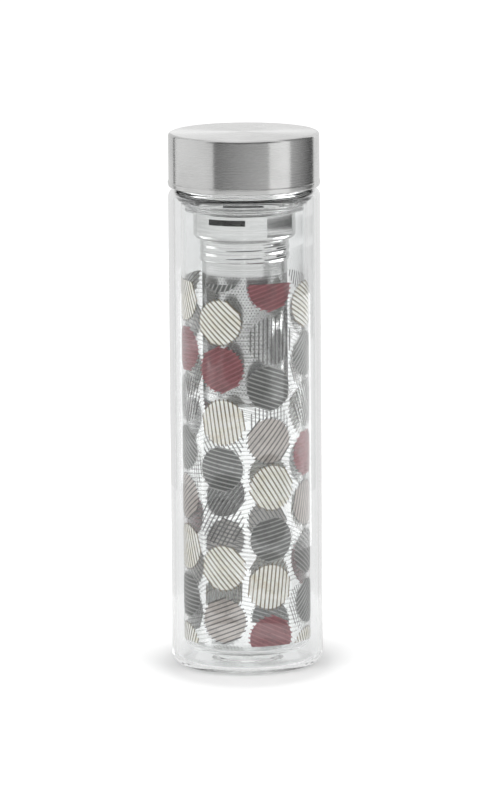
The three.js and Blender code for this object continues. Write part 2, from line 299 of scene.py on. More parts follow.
def mapped(material, value, fromLow, fromHigh, toLow, toHigh):
    inputs = {"Value": value, "From Min": fromLow, "From Max": fromHigh, "To Min": toLow, "To Max": toHigh}
    return addNode(material, "ShaderNodeMapRange", inputs).outputs["Result"]


def twoTone(material, value, low, high, lowColour, highColour):
    ramp = addNode(material, "ShaderNodeValToRGB", {"Fac": value})
    ramp.color_ramp.elements[0].position = low
    ramp.color_ramp.elements[0].color = (*lowColour, 1)
    ramp.color_ramp.elements[1].position = high
    ramp.color_ramp.elements[1].color = (*highColour, 1)
    return ramp.outputs["Color"]


def bumpFrom(material, height, strength, distance):
    inputs = {"Height": height, "Strength": strength, "Distance": distance}
    return addNode(material, "ShaderNodeBump", inputs).outputs["Normal"]


def spunLines(material, fineness, drift):  # changes fast up a wall or across a disc, slowly round it
    place = objectPlace(material)
    flat = reckonVector(material, "MULTIPLY", place, (1, 1, 0)).outputs["Vector"]
    radius = reckonVector(material, "LENGTH", flat).outputs["Value"]
    height = addNode(material, "ShaderNodeSeparateXYZ", {0: place}).outputs["Z"]
    fast = reckon(material, "MULTIPLY", reckon(material, "ADD", radius, height), fineness)
    slow = reckonVector(material, "MULTIPLY", flat, (drift, drift, drift)).outputs["Vector"]
    lift = addNode(material, "ShaderNodeCombineXYZ", {"Z": fast}).outputs[0]
    return reckonVector(material, "ADD", slow, lift).outputs["Vector"]


# Camera, as the photograph was taken

cameraSizes = {
    "distance": 3200,  # mm in front of the bottle's axis
    "height": 649.1,
    "aimHeight": 116.1,
    "side": 0.99,
    "lens": 335,
    "sensor": 36,
    "rollDegrees": -0.45,
    "sight": 50,  # metres
}


def addCamera():
    lens = bpy.data.cameras.new("photoCamera")
    lens.lens = cameraSizes["lens"]
    lens.sensor_width = cameraSizes["sensor"]
    camera = bpy.data.objects.new("photoCamera", lens)
    scene.collection.objects.link(camera)
    place = Vector((cameraSizes["side"], -cameraSizes["distance"], cameraSizes["height"])) * mm
    aim = Vector((cameraSizes["side"], 0, cameraSizes["aimHeight"])) * mm
    camera.location = place
    camera.rotation_euler = (aim - place).to_track_quat("-Z", "Y").to_euler()
    camera.rotation_euler.rotate_axis("Z", math.radians(cameraSizes["rollDegrees"]))
    lens.clip_end = cameraSizes["sight"]
    scene.camera = camera
    print("camera placed")


addCamera()


# Glass bottle: the outer wall and the inner vessel, fused at the neck round a hollow jacket

glassSizes = {
    "wall": 2.0,
    "base": 2.4,
    "baseCorner": 5.5,
    "shoulderCorner": 3.0,
    "shoulderFillet": 0.9,
    "puntRadius": 15.0,
    "puntDepth": 1.0,
    "puntRound": 2.0,
    "beadRadius": 3.0,
    "beadHeight": 0.6,
    "beadRound": 0.5,
    "jacketGap": 3.5,
    "jacketTopRound": 1.4,
    "jacketNeckGap": 1.0,
    "jacketNeckRound": 0.6,
    "vesselWall": 1.2,
    "vesselBase": 1.6,
    "vesselCorner": 3.8,
    "neckWall": 1.9,
    "neckFlare": 3.3,
    "neckFlareRound": 3.0,
    "rimRound": 0.6,
    "threadReach": 1.2,
    "threadStart": 3.3,  # above the liner's bottom edge
    "threadPitch": 4.0,
    "threadTurns": 1.25,
    "threadRows": 44,
}
vesselRadius = bodyRadius - glassSizes["wall"] - glassSizes["jacketGap"]
boreRadius = vesselRadius - glassSizes["vesselWall"]
neckRadius = boreRadius + glassSizes["neckWall"]
vesselFloor = vesselUnderside + glassSizes["vesselBase"]


def glassMaterial():
    material, shader = startMaterial("clearGlass")
    waves = noiseOn(material, objectPlace(material), 38, detail=1.0)
    smears = noiseOn(material, objectPlace(material), 55, detail=4.0)
    setInputs(material, shader, {
        "Base Color": (0.985, 0.99, 0.99, 1),
        "Transmission Weight": 1,
        "IOR": 1.47,
        "Specular Tint": (0.4, 0.4, 0.4, 1),
        "Roughness": mapped(material, smears, 0.45, 0.8, 0.0, 0.03),
        "Normal": bumpFrom(material, waves, 0.06, 0.0004),
    })
    shadow = addNode(material, "ShaderNodeLightPath").outputs["Is Shadow Ray"]
    clear = addNode(material, "ShaderNodeBsdfTransparent", {"Color": (0.95, 0.955, 0.955, 1)})
    showMix(material, shadow, shader, clear)
    return material


def makeGlass():
    size = glassSizes
    steps = 160
    punt = footHeight + size["puntDepth"]
    puntEdge = size["puntRadius"] - size["puntDepth"]
    threadStart = linerBottom + size["threadStart"]
    threadRise = size["threadPitch"] * size["threadTurns"]
    threadLow = threadStart - size["threadPitch"] / 2
    threadHigh = threadStart + threadRise + size["threadPitch"] / 2
    outside = [
        (0, punt - size["beadHeight"]),
        (size["beadRadius"], punt - size["beadHeight"], size["beadRound"]),
        (size["beadRadius"], punt),
        (puntEdge, punt, size["puntRound"]),
        (size["puntRadius"], footHeight, size["puntRound"]),
        (bodyRadius, footHeight, size["baseCorner"]),
        (bodyRadius, shoulderTop, size["shoulderCorner"]),
        (neckRadius, shoulderTop, size["shoulderFillet"]),
        (neckRadius, threadLow),
        (neckRadius, threadHigh),
        (neckRadius, neckRim, size["rimRound"]),
        (boreRadius, neckRim, size["rimRound"]),
        (boreRadius, vesselFloor, size["vesselCorner"]),
        (0, vesselFloor),
    ]
    glass = drawOutline("glassBottle", outside, roundSteps=8)
    addRows(neckRadius, threadLow, threadHigh, size["threadRows"])
    spinOutline(steps)
    rollThread(glass, {
        "inner": neckRadius,
        "outer": neckRadius,
        "low": threadLow,
        "high": threadHigh,
        "start": threadStart,
        "pitch": size["threadPitch"],
        "from": 0,
        "to": size["threadTurns"],
        "firstTurn": 0,
        "lastTurn": 1,
        "fade": 0.06,
        "reach": size["threadReach"],
        "rootHalf": 0.95,
        "crestHalf": 0.4,
    })
    innerWall = bodyRadius - size["wall"]
    jacketFloor = footHeight + size["base"]
    jacketTop = shoulderTop - size["wall"]
    vesselOuterCorner = size["vesselCorner"] + size["vesselWall"]
    jacket = [
        (0, jacketFloor + size["puntDepth"]),
        (puntEdge, jacketFloor + size["puntDepth"], size["puntRound"]),
        (size["puntRadius"], jacketFloor, size["puntRound"]),
        (innerWall, jacketFloor, size["baseCorner"] - size["wall"]),
        (innerWall, jacketTop, size["jacketTopRound"]),
        (neckRadius + size["jacketNeckGap"], jacketTop, size["jacketNeckRound"]),
        (vesselRadius, jacketTop - size["neckFlare"], size["neckFlareRound"]),
        (vesselRadius, vesselUnderside, vesselOuterCorner),
        (0, vesselUnderside),
    ]
    hollow = turnPiece("jacketHollow", jacket, roundSteps=8, steps=steps)
    flipFaces(hollow)
    joinPieces([glass, hollow])
    finishPiece(glass, "bottle", ["outer_glass", "inner_glass"], [glassMaterial()], sharpAngle=60)


makeGlass()


# Print of striped dots, laid out flat as a transfer sheet and wrapped round the vessel

printSizes = {
    "low": 12.0,
    "high": 171.0,
    "columns": 8,
    "rows": 9,
    "rowPitch": 21.8,
    "firstRow": 5.0,
    "columnShift": 0.625,  # share of the row pitch by which each column climbs on the last
    "dotRadius": 9.6,
    "lineOverhang": 0.8,
    "linePitch": 1.85,
    "lineWidth": 0.6,
    "cutPitch": 1.5,
    "hatchShift": (0.38, 0.5),  # shares of the column and row pitch from a dot to its hatching
    "hatchTurn": 14,  # degrees at most
    "hatchGap": 0.03,
    "inkGap": 0.1,
    "inkHeight": 0.05,
    "wander": 0.7,
    "swayByColumn": 2.4,
    "swayByRow": 1.7,
    "bobByRow": 3.1,
    "firstTurn": 17,
    "turnByColumn": 47,
    "turnByRow": 71,
}
inkColours = {  # fill, line, and how well each covers: the ink lets some light through
    "maroon": ((0.165, 0.036, 0.044), (0.25, 0.075, 0.085), 0.88, 0.88),
    "charcoal": ((0.058, 0.061, 0.058), (0.31, 0.31, 0.30), 0.88, 0.80),
    "grey": ((0.45, 0.405, 0.375), (0.058, 0.049, 0.046), 0.80, 0.86),
    "cream": ((0.98, 0.92, 0.74), (0.15, 0.11, 0.058), 0.95, 0.78),
    "lines": (None, (0.06, 0.058, 0.055), 0, 0.74),
    "hatch": (None, (0.17, 0.16, 0.145), 0, 0.29),
}
fluxColour = (0.7, 0.7, 0.68)
fluxCover = 0.05  # the clear underside of the fired print
inkOrder = ["charcoal", "maroon", "charcoal", "cream", "cream", "lines", "grey"]


def inkMaterial(name, colour, cover):
    material, shader = startMaterial(name)
    grain = noiseOn(material, objectPlace(material), 2600, detail=2.0)
    cloud = noiseOn(material, objectPlace(material), 180)
    both = reckon(material, "ADD", grain, cloud)
    thin = tuple(min(1, part * 1.28 + 0.012) for part in colour)
    thick = tuple(part * 0.82 for part in colour)
    setInputs(material, shader, {
        "Base Color": twoTone(material, both, 0.75, 1.0, thick, thin),
        "Roughness": mapped(material, cloud, 0.3, 0.7, 0.28, 0.46),
        "Normal": bumpFrom(material, grain, 0.15, 0.00003),
        "Alpha": cover,
    })
    return material


def makeDotStamp():
    size = printSizes
    outerRadius = size["dotRadius"] + size["lineOverhang"]
    stamp = startCircle("dotStamp", outerRadius, 48, "NGON")
    openPiece(stamp, "FACE")
    selectAll()
    bpy.ops.mesh.inset(thickness=size["lineOverhang"] * mm)
    lines = math.ceil(outerRadius / size["linePitch"])
    for line in range(-lines, lines + 1):
        for side in (-0.5, 0.5):
            height = line * size["linePitch"] + side * size["lineWidth"]
            selectAll()
            bpy.ops.mesh.bisect(plane_co=(0, 0, height * mm), plane_no=(0, 0, 1))
    cuts = math.floor(outerRadius / size["cutPitch"])
    for cut in range(-cuts, cuts + 1):
        selectAll()
        bpy.ops.mesh.bisect(plane_co=(cut * size["cutPitch"] * mm, 0, 0), plane_no=(1, 0, 0))
    fillEdge = size["dotRadius"] - size["lineOverhang"] * 0.05
    pickFaces(lambda x, y, z: math.hypot(x, z) > fillEdge and not onLine(z))
    bpy.ops.mesh.delete(type="FACE")
    closePiece()
    for face in stamp.data.polygons:
        face.material_index = 1 if onLine(face.center.z / mm) else 0
    return stamp


def onLine(height):  # whether a height on the dot stamp falls on one of its lines
    pitch = printSizes["linePitch"]
    away = abs((height + pitch / 2) % pitch - pitch / 2)
    return away < printSizes["lineWidth"] / 2


def wrapSheet(dots, name, gap, flux):  # trims the dots and wraps them round the vessel as a thin film
    size = printSizes
    radius = vesselRadius + gap
    sheet = joinPieces(dots)
    sheet.name = name
    openPiece(sheet, "FACE")
    for edge, normal in ((size["low"], -1), (size["high"], 1)):
        selectAll()
        bpy.ops.mesh.bisect(plane_co=(0, 0, edge * mm), plane_no=(0, 0, normal), clear_outer=True)
    weld(outwards=False)
    closePiece()
    bendRound(sheet, radius)
    closePiece()
    applyModifier(sheet, "SOLIDIFY", thickness=size["inkHeight"] * mm, offset=1)
    sheet.data.materials.append(flux)
    for face in sheet.data.polygons:
        if face.normal.xy.dot(face.center.xy) < -0.5 * radius * mm:  # faces the vessel
            face.material_index = len(sheet.data.materials) - 1
    bpy.ops.object.shade_smooth_by_angle(angle=math.radians(35))
    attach(sheet, "bottle")
    print(name, "done,", len(sheet.data.polygons), "faces")


def layDot(stamp, inks, across, height, turn):
    dot = stamp.copy()
    dot.data = stamp.data.copy()
    scene.collection.objects.link(dot)
    for ink in inks:
        dot.data.materials.append(ink)
    if inks[0] == inks[1]:  # lines alone
        openPiece(dot, "FACE")
        pickFaces(lambda x, y, z: not onLine(z))
        bpy.ops.mesh.delete(type="FACE")
        closePiece()
    makeActive(dot)
    dot.rotation_euler = (0, math.radians(turn), 0)
    dot.location = (across * mm, 0, height * mm)
    applyPlace()
    return dot


def makePrint():
    size = printSizes
    columnPitch = fullTurn * vesselRadius / size["columns"]
    acrossShift, heightShift = size["hatchShift"]
    inks = {}
    for kind, (fill, line, fillCover, lineCover) in inkColours.items():
        lineInk = inkMaterial(kind + "LineInk", line, lineCover)
        inks[kind] = (inkMaterial(kind + "Ink", fill, fillCover) if fill else lineInk, lineInk)
    flux = inkMaterial("clearFlux", fluxColour, fluxCover)
    stamp = makeDotStamp()
    dots = []
    hatches = []
    for column in range(size["columns"]):
        for row in range(size["rows"]):
            kind = inkOrder[(2 * column + 3 * row + row * column % 2) % len(inkOrder)]
            stagger = size["columnShift"] * column % 1
            sway = math.sin(size["swayByColumn"] * column + size["swayByRow"] * row)
            bob = math.cos(size["bobByRow"] * row + column)
            across = (column - (size["columns"] - 1) / 2) * columnPitch + size["wander"] * sway
            height = size["firstRow"] + (row + stagger) * size["rowPitch"] + size["wander"] * bob
            turn = size["firstTurn"] + size["turnByColumn"] * column + size["turnByRow"] * row
            dots.append(layDot(stamp, inks[kind], across, height, turn))
            if (column + row) % 3:  # beside two dots of three
                across += acrossShift * columnPitch
                height += heightShift * size["rowPitch"]
                hatches.append(layDot(stamp, inks["hatch"], across, height, size["hatchTurn"] * sway))
    bpy.data.objects.remove(stamp)
    wrapSheet(hatches, "hatchPrint", size["hatchGap"], flux)
    wrapSheet(dots, "dotPrint", size["inkGap"], flux)


makePrint()


# Steels

def brushedSteel():
    material, shader = startMaterial("brushedSteel")
    fine = noiseOn(material, spunLines(material, 6500, 30), 1.0, detail=4.0, roughness=0.6)
    cloud = noiseOn(material, objectPlace(material), 70, detail=2.0)
    both = reckon(material, "ADD", fine, cloud)
    setInputs(material, shader, {
        "Base Color": twoTone(material, both, 0.7, 1.0, (0.64, 0.64, 0.635), (0.74, 0.74, 0.735)),
        "Roughness": mapped(material, fine, 0.25, 0.75, 0.22, 0.30),
        "Normal": bumpFrom(material, fine, 0.03, 0.00002),
        "Tangent": addNode(material, "ShaderNodeTangent", direction_type="RADIAL", axis="Z").outputs[0],
        "Metallic": 1,
        "Anisotropic": 0.93,
        "Anisotropic Rotation": 0.25,
    })
    return material


def polishedSteel(name, roughLow, roughHigh):
    material, shader = startMaterial(name)
    faint = noiseOn(material, spunLines(material, 2600, 40), 1.0)
    cloud = noiseOn(material, objectPlace(material), 90)
    setInputs(material, shader, {
        "Base Color": twoTone(material, faint, 0.35, 0.65, (0.61, 0.61, 0.605), (0.71, 0.71, 0.705)),
        "Roughness": mapped(material, cloud, 0.3, 0.7, roughLow, roughHigh),
        "Normal": bumpFrom(material, faint, 0.05, 0.00002),
        "Metallic": 1,
    })
    return material


lidSteel = brushedSteel()
hemSteel = polishedSteel("polishedHem", 0.10, 0.2)
infuserSteel = polishedSteel("polishedSteel", 0.03, 0.07)
meshSteel = polishedSteel("satinSteel", 0.18, 0.3)


# Lid shell: a drawn steel cup, brushed round, with a polished hem

lidSizes = {
    "sheet": 0.6,
    "edgeRound": 1.4,
    "hemHeight": 2.5,
    "hemStep": 0.4,
    "hemRound": 0.7,
    "hemTaper": 0.4,
    "creaseRound": 0.3,
    "rollWidth": 2.2,  # the hem is rolled in under the liner
    "rollHeight": 0.55,
    "rollRound": 0.2,
    "rollCrease": 0.1,
}


def makeLidShell():
    size = lidSizes
    radius = hemRadius - size["hemStep"]
    bore = radius - size["sheet"]
    hemTop = lidBottom + size["hemHeight"]
    outline = [
        (0, lidTop - size["sheet"]),
        (bore, lidTop - size["sheet"], size["edgeRound"] - size["sheet"]),
        (bore, lidBottom + size["rollHeight"], size["rollCrease"]),
        (hemRadius - size["rollWidth"], lidBottom + size["rollHeight"], size["rollRound"]),
        (hemRadius - size["rollWidth"], lidBottom, size["rollRound"]),
        (hemRadius - size["hemTaper"], lidBottom, size["hemRound"]),
        (hemRadius, hemTop - size["hemStep"], size["creaseRound"]),
        (radius, hemTop, size["creaseRound"]),
        (radius, lidTop, size["edgeRound"]),
        (0, lidTop),
    ]
    lid = turnPiece("lidCup", outline, roundSteps=6, steps=160)
    for face in lid.data.polygons:
        face.material_index = 1 if face.center.z < (hemTop - size["hemStep"] / 2) * mm else 0
    finishPiece(lid, "lid", ["lid_shell"], [lidSteel, hemSteel])


makeLidShell()


# Lid liner: a moulded plastic cup with the inside thread

linerSizes = {
    "wall": 2.1,
    "roof": 2.0,
    "edgeRound": 1.2,
    "innerRound": 0.6,
    "lipRound": 0.5,
    "threadStart": 1.3,
    "threadReach": 1.2,
    "threadRows": 40,
}


def linerMaterial():
    material, shader = startMaterial("linerPlastic")
    speckle = noiseOn(material, objectPlace(material), 1400, detail=2.0)
    cloud = noiseOn(material, objectPlace(material), 60)
    setInputs(material, shader, {
        "Base Color": twoTone(material, cloud, 0.35, 0.65, (0.020, 0.020, 0.022), (0.036, 0.036, 0.038)),
        "Roughness": mapped(material, speckle, 0.3, 0.7, 0.36, 0.52),
        "Normal": bumpFrom(material, speckle, 0.2, 0.00005),
    })
    return material


def makeLiner():
    size = linerSizes
    bore = linerRadius - size["wall"]
    ceiling = linerTop - size["roof"]
    start = linerBottom + size["threadStart"]
    low = linerBottom + size["lipRound"]
    high = start + glassSizes["threadPitch"] * (glassSizes["threadTurns"] + 0.5)
    outline = [
        (0, ceiling),
        (bore, ceiling, size["innerRound"]),
        (bore, high),
        (bore, low),
        (bore, linerBottom),
        (linerRadius, linerBottom, size["lipRound"]),
        (linerRadius, linerTop, size["edgeRound"]),
        (0, linerTop),
    ]
    liner = drawOutline("lidLiner", outline)
    addRows(bore, low, high, size["threadRows"])
    spinOutline()
    rollThread(liner, {
        "inner": bore,
        "outer": bore,
        "low": low,
        "high": high,
        "start": start,
        "pitch": glassSizes["threadPitch"],
        "from": 0,
        "to": glassSizes["threadTurns"],
        "firstTurn": 0,
        "lastTurn": 1,
        "fade": 0.06,
        "reach": -size["threadReach"],
        "rootHalf": 0.85,
        "crestHalf": 0.35,
    })
    finishPiece(liner, "lid", ["lid_liner"], [linerMaterial()])


makeLiner()


# Gasket and inner plate in the lid's roof

roofSizes = {
    "gasketWidth": 4.0,
    "gasketRound": 0.35,
    "plateSheet": 0.5,
    "plateLip": 1.2,
    "plateRound": 0.3,
}


def siliconeMaterial(name, transmission, dull, roughLow, roughHigh):
    material, shader = startMaterial(name)
    bloom = noiseOn(material, objectPlace(material), 240, detail=4.0)
    setInputs(material, shader, {
        "Base Color": twoTone(material, bloom, 0.35, 0.65, (dull, dull, dull), (0.98, 0.985, 0.98)),
        "Roughness": mapped(material, bloom, 0.3, 0.7, roughLow, roughHigh),
        "Transmission Weight": transmission,
        "IOR": 1.41,
    })
    return material


def makeRoof():
    size = roofSizes
    inside = gasketRadius - size["gasketWidth"]
    middle = (gasketBottom + gasketTop) / 2
    ring = [
        (gasketRadius, middle),
        (gasketRadius, gasketTop, size["gasketRound"]),
        (inside, gasketTop, size["gasketRound"]),
        (inside, gasketBottom, size["gasketRound"]),
        (gasketRadius, gasketBottom, size["gasketRound"]),
        (gasketRadius, middle),
    ]
    gasket = turnPiece("lidGasket", ring, roundSteps=4)
    silicone = siliconeMaterial("gasketSilicone", 0.15, 0.9, 0.2, 0.34)
    finishPiece(gasket, "lid_lift", ["lid_gasket"], [silicone])
    lipEdge = plateRadius - size["plateLip"]
    dish = [
        (0, plateTop - size["plateSheet"]),
        (lipEdge, plateTop - size["plateSheet"], size["plateRound"]),
        (lipEdge, plateBottom, size["plateRound"]),
        (plateRadius, plateBottom, size["plateRound"]),
        (plateRadius, plateTop, size["plateRound"]),
        (0, plateTop),
    ]
    plate = turnPiece("lidPlate", dish, roundSteps=4)
    finishPiece(plate, "lid_thread", ["lid_inner_plate"], [infuserSteel])


makeRoof()


# Infuser collar: drawn steel with pouring slots, a rounded shoulder and a skirt with a rolled thread

collarSizes = {
    "sheet": 0.6,
    "radius": 22.3,
    "flare": 3.2,
    "length": 39.0,
    "skirtRadius": 19.3,
    "skirtLength": 9.2,
    "footRound": 2.6,
    "stepRise": 10.3,  # from the wall's lower end up to the seat of the seal
    "stepHeight": 1.1,
    "stepDepth": 0.45,
    "slotRise": 6.4,
    "slotHeight": 2.6,
    "slotSpan": 43.0,
    "slotTurn": -20.5,
    "slotCount": 3,
    "slotRound": 0.8,
    "threadPitch": 3.4,
    "threadReach": 0.29,
    "threadDrop": 4.7,  # from the basket's rim down to where its thread starts
    "threadRows": 44,
    "threadEnd": 0.4,  # from the skirt's top down to the threaded stretch
    "stepRound": 0.4,
    "skirtRound": 0.3,
    "rimRound": 0.25,
    "hemRound": 0.2,
}
flangeBottom = flangeTop - collarSizes["sheet"]
collarFoot = flangeBottom - collarSizes["length"]
skirtTop = skirtBottom + collarSizes["skirtLength"]
stepLow = collarFoot + collarSizes["stepRise"]
stepHigh = stepLow + collarSizes["stepHeight"]
basketThreadStart = basketTop - collarSizes["threadDrop"]


def slotCutter(middle):  # a curved block with rounded corners that cuts one pouring slot
    size = collarSizes
    low = collarFoot + size["slotRise"]
    high = low + size["slotHeight"]
    inside = size["radius"] - 3 * size["sheet"]
    outside = size["radius"] + 2 * size["sheet"]
    span = math.radians(size["slotSpan"])
    begin = math.radians(middle) - math.pi / 2 - span / 2
    outline = [(inside, low), (outside, low), (outside, high), (inside, high), (inside, low)]
    block = drawOutline("slotCutter", outline)
    weld(outwards=False)
    bpy.ops.mesh.spin(steps=16, angle=-span, center=(0, 0, 0), axis=(0, 0, 1))  # anticlockwise
    selectAll()
    bpy.ops.mesh.fill_holes(sides=0)
    bpy.ops.mesh.normals_make_consistent(inside=False)
    mesh = bpy.context.edit_object.data
    form = bmesh.from_edit_mesh(mesh)
    midWall = (inside + outside) / 2 * mm
    for edge in form.edges:  # the four edges that run through the wall at the slot's ends
        a, b = (vert.co for vert in edge.verts)
        radial = Vector((a.x, a.y, 0)).normalized()
        reaches = sorted(math.hypot(end.x, end.y) for end in (a, b))
        isLevel = abs(a.z - b.z) < near * mm
        isThrough = reaches[0] < midWall < reaches[1]
        walls = [face for face in edge.link_faces if len(face.verts) == 4 and abs(face.normal.z) < 0.5]
        isEnd = any(abs(face.normal.dot(radial)) < 0.2 for face in walls)
        edge.select_set(isLevel and isThrough and isEnd)
    bmesh.update_edit_mesh(mesh)
    bpy.ops.mesh.bevel(offset=size["slotRound"] * mm, segments=5)
    closePiece()
    makeActive(block)
    block.rotation_euler = (0, 0, begin)
    applyPlace()
    return block


def makeCollar():
    size = collarSizes
    bore = size["radius"] - size["sheet"]
    skirtBore = size["skirtRadius"] - size["sheet"]
    depth = size["stepDepth"]
    threadTop = skirtTop - size["threadEnd"]
    outline = [
        (size["skirtRadius"], threadTop),
        (size["skirtRadius"], skirtTop, size["skirtRound"]),
        (size["radius"], skirtTop, size["footRound"]),
        (size["radius"], stepLow, size["stepRound"]),
        (size["radius"] - depth, stepHigh, size["stepRound"]),
        (size["radius"] - depth, flangeBottom, size["flare"]),
        (flangeRadius, flangeBottom, size["rimRound"]),
        (flangeRadius, flangeTop, size["rimRound"]),
        (bore - depth, flangeTop, size["flare"] + size["sheet"]),
        (bore - depth, stepHigh, size["stepRound"]),
        (bore, stepLow, size["stepRound"]),
        (bore, skirtTop + size["sheet"], size["footRound"] - size["sheet"]),
        (skirtBore, skirtTop + size["sheet"], size["skirtRound"]),
        (skirtBore, threadTop),
        (skirtBore, skirtBottom, size["hemRound"]),
        (size["skirtRadius"], skirtBottom, size["hemRound"]),
        (size["skirtRadius"], threadTop),
    ]
    collar = drawOutline("collar", outline)
    for wall in (size["skirtRadius"], skirtBore):
        addRows(wall, skirtBottom + size["hemRound"], threadTop, size["threadRows"])
    spinOutline()
    rollThread(collar, {
        "inner": skirtBore,
        "outer": size["skirtRadius"],
        "low": skirtBottom - near,
        "high": skirtTop - size["threadEnd"] / 2,
        "start": basketThreadStart,
        "pitch": size["threadPitch"],
        "from": -1.6,
        "to": 1.9,
        "firstTurn": -2,
        "lastTurn": 2,
        "fade": 0.15,
        "reach": size["threadReach"],
        "rootHalf": 1.5,
        "crestHalf": 0.4,
    })
    slotStep = 360 / size["slotCount"]
    cutters = [slotCutter(size["slotTurn"] + slotStep * slot) for slot in range(size["slotCount"])]
    cutter = joinPieces(cutters)
    applyModifier(collar, "BOOLEAN", operation="DIFFERENCE", solver="EXACT", object=cutter)
    bpy.data.objects.remove(cutter)
    finishPiece(collar, "infuser", ["infuser_collar"], [infuserSteel])


makeCollar()


# Infuser seal: a silicone sleeve with two soft lips

sealSizes = {
    "sleeveRadius": 23.4,
    "seatGap": 0.3,
    "seatRise": 0.1,
    "lips": 2,
    "lipRise": 0.1,
    "lipRoot": 1.0,
    "lipDroop": 0.4,  # the lips hang down from their roots
    "lipTip": 0.7,
    "lipSlant": 0.2,
    "lipPitch": 2.0,
    "edgeRound": 0.4,
    "underRound": 0.12,
    "tipRound": 0.35,
    "rootRound": 0.3,
}


def makeSeal():
    size = sealSizes
    inside = collarSizes["radius"] - collarSizes["stepDepth"] + size["seatGap"]
    sleeve = size["sleeveRadius"]
    seat = stepHigh + size["seatRise"]
    middle = (seat + sealTop) / 2
    outline = [(inside, middle), (inside, seat, size["edgeRound"])]
    for lip in range(size["lips"]):
        root = seat + size["lipRise"] + lip * size["lipPitch"]
        tip = root - size["lipDroop"]
        outline += [
            (sleeve, root, size["underRound"]),
            (sealRadius - size["lipSlant"], tip, size["tipRound"]),
            (sealRadius, tip + size["lipTip"], size["tipRound"]),
            (sleeve, root + size["lipRoot"], size["rootRound"]),
        ]
    outline += [
        (sleeve, sealTop, size["edgeRound"] / 2),
        (inside, sealTop, size["edgeRound"]),
        (inside, middle),
    ]
    seal = turnPiece("collarSeal", outline, roundSteps=4)
    silicone = siliconeMaterial("sealSilicone", 0.98, 0.95, 0.0, 0.04)
    finishPiece(seal, "infuser", ["infuser_seal"], [silicone])


makeSeal()


# Perforated steel, as a flat sheet of cells with one hole each

def perforatedSheet(name, columns, rowPairs, pitch, hole):
    rowPitch = pitch * math.sqrt(3) / 2
    sheet = startCircle(name, hole / 2, 6, "NOTHING")
    openPiece(sheet)
    selectAll()
    bpy.ops.mesh.extrude_region_move(TRANSFORM_OT_translate={"value": (0, 0, 0)})
    form = bmesh.from_edit_mesh(sheet.data)
    for vert in form.verts:
        if vert.select:  # the hole's six corners drawn out to the cell's edge
            side = 0 if abs(vert.co.x) < near * mm else math.copysign(1, vert.co.x)
            vert.co.x = side * pitch / 2 * mm
            vert.co.z = math.copysign(rowPitch / 2, vert.co.z) * mm
    bmesh.update_edit_mesh(sheet.data)
    selectAll()
    bpy.ops.mesh.duplicate_move(TRANSFORM_OT_translate={"value": (pitch / 2 * mm, 0, rowPitch * mm)})
    closePiece()
    for count, step in ((columns, (pitch * mm, 0, 0)), (rowPairs, (0, 0, 2 * rowPitch * mm))):
        applyModifier(sheet, "ARRAY", count=count, use_relative_offset=False, use_constant_offset=True,
                      constant_offset_displace=step)
    openPiece(sheet)
    weld(near / 2, outwards=False)
    closePiece()
    return sheet, rowPitch


def faceOut(piece):  # turns an open tube's faces away from the axis
    openPiece(piece)
    selectAll()
    bpy.ops.mesh.normals_make_consistent(inside=False)
    closePiece()
    if sum(face.normal.xy.dot(face.center.xy) for face in piece.data.polygons) < 0:
        flipFaces(piece)


def screenDisc(name, radius, low, sheet, pitch, hole):  # a round perforated disc that lies flat
    across = math.ceil(2 * radius / pitch) + 2
    rowPairs = math.ceil(2 * radius / (pitch * math.sqrt(3))) + 1
    disc, rowPitch = perforatedSheet(name, across, rowPairs, pitch, hole)
    applyModifier(disc, "SOLIDIFY", thickness=sheet * mm, offset=0)
    openPiece(disc)
    selectAll()
    bpy.ops.mesh.normals_make_consistent(inside=False)
    toMiddle = (-(across - 1) / 2 * pitch * mm, 0, -(rowPairs - 0.5) * rowPitch * mm)
    bpy.ops.transform.translate(value=toMiddle)
    closePiece()
    makeActive(disc)
    disc.rotation_euler = tipped
    disc.location = (0, 0, (low + sheet / 2) * mm)
    applyPlace()
    deselectAll()
    bpy.ops.mesh.primitive_cylinder_add(vertices=96, radius=radius * mm, depth=10 * sheet * mm,
                                        location=(0, 0, low * mm))
    blank = bpy.context.object
    applyModifier(disc, "BOOLEAN", operation="INTERSECT", solver="EXACT", object=blank)
    bpy.data.objects.remove(blank)
    return disc


# Tea basket: a perforated tube with a rolled thread at its top and a screen in its foot

basketSizes = {
    "sheet": 0.5,
    "corner": 3.0,
    "cornerSteps": 6,
    "bareBand": 2.0,  # from the corner up to the first holes
    "columns": 84,
    "rowPairs": 22,
    "hole": 0.72,
    "lip": 2.6,
    "floorSheet": 0.4,
    "floorInset": 0.6,
    "floorGap": 0.02,
    "floorPitch": 2.0,
    "floorHole": 1.1,
    "threadReach": 0.45,
    "threadRows": 26,
    "threadZone": 7.0,
    "threadEdge": 0.1,
    "threadSlack": 0.05,  # the bent wall strays this little from its radius
}


def extrudeRing(rise, grow=1):  # pulls the selected ring on to a new height and size
    bpy.ops.mesh.extrude_region_move(TRANSFORM_OT_translate={"value": (0, 0, rise * mm)})
    if grow != 1:
        bpy.ops.transform.resize(value=(grow, grow, 1), center_override=(0, 0, 0))


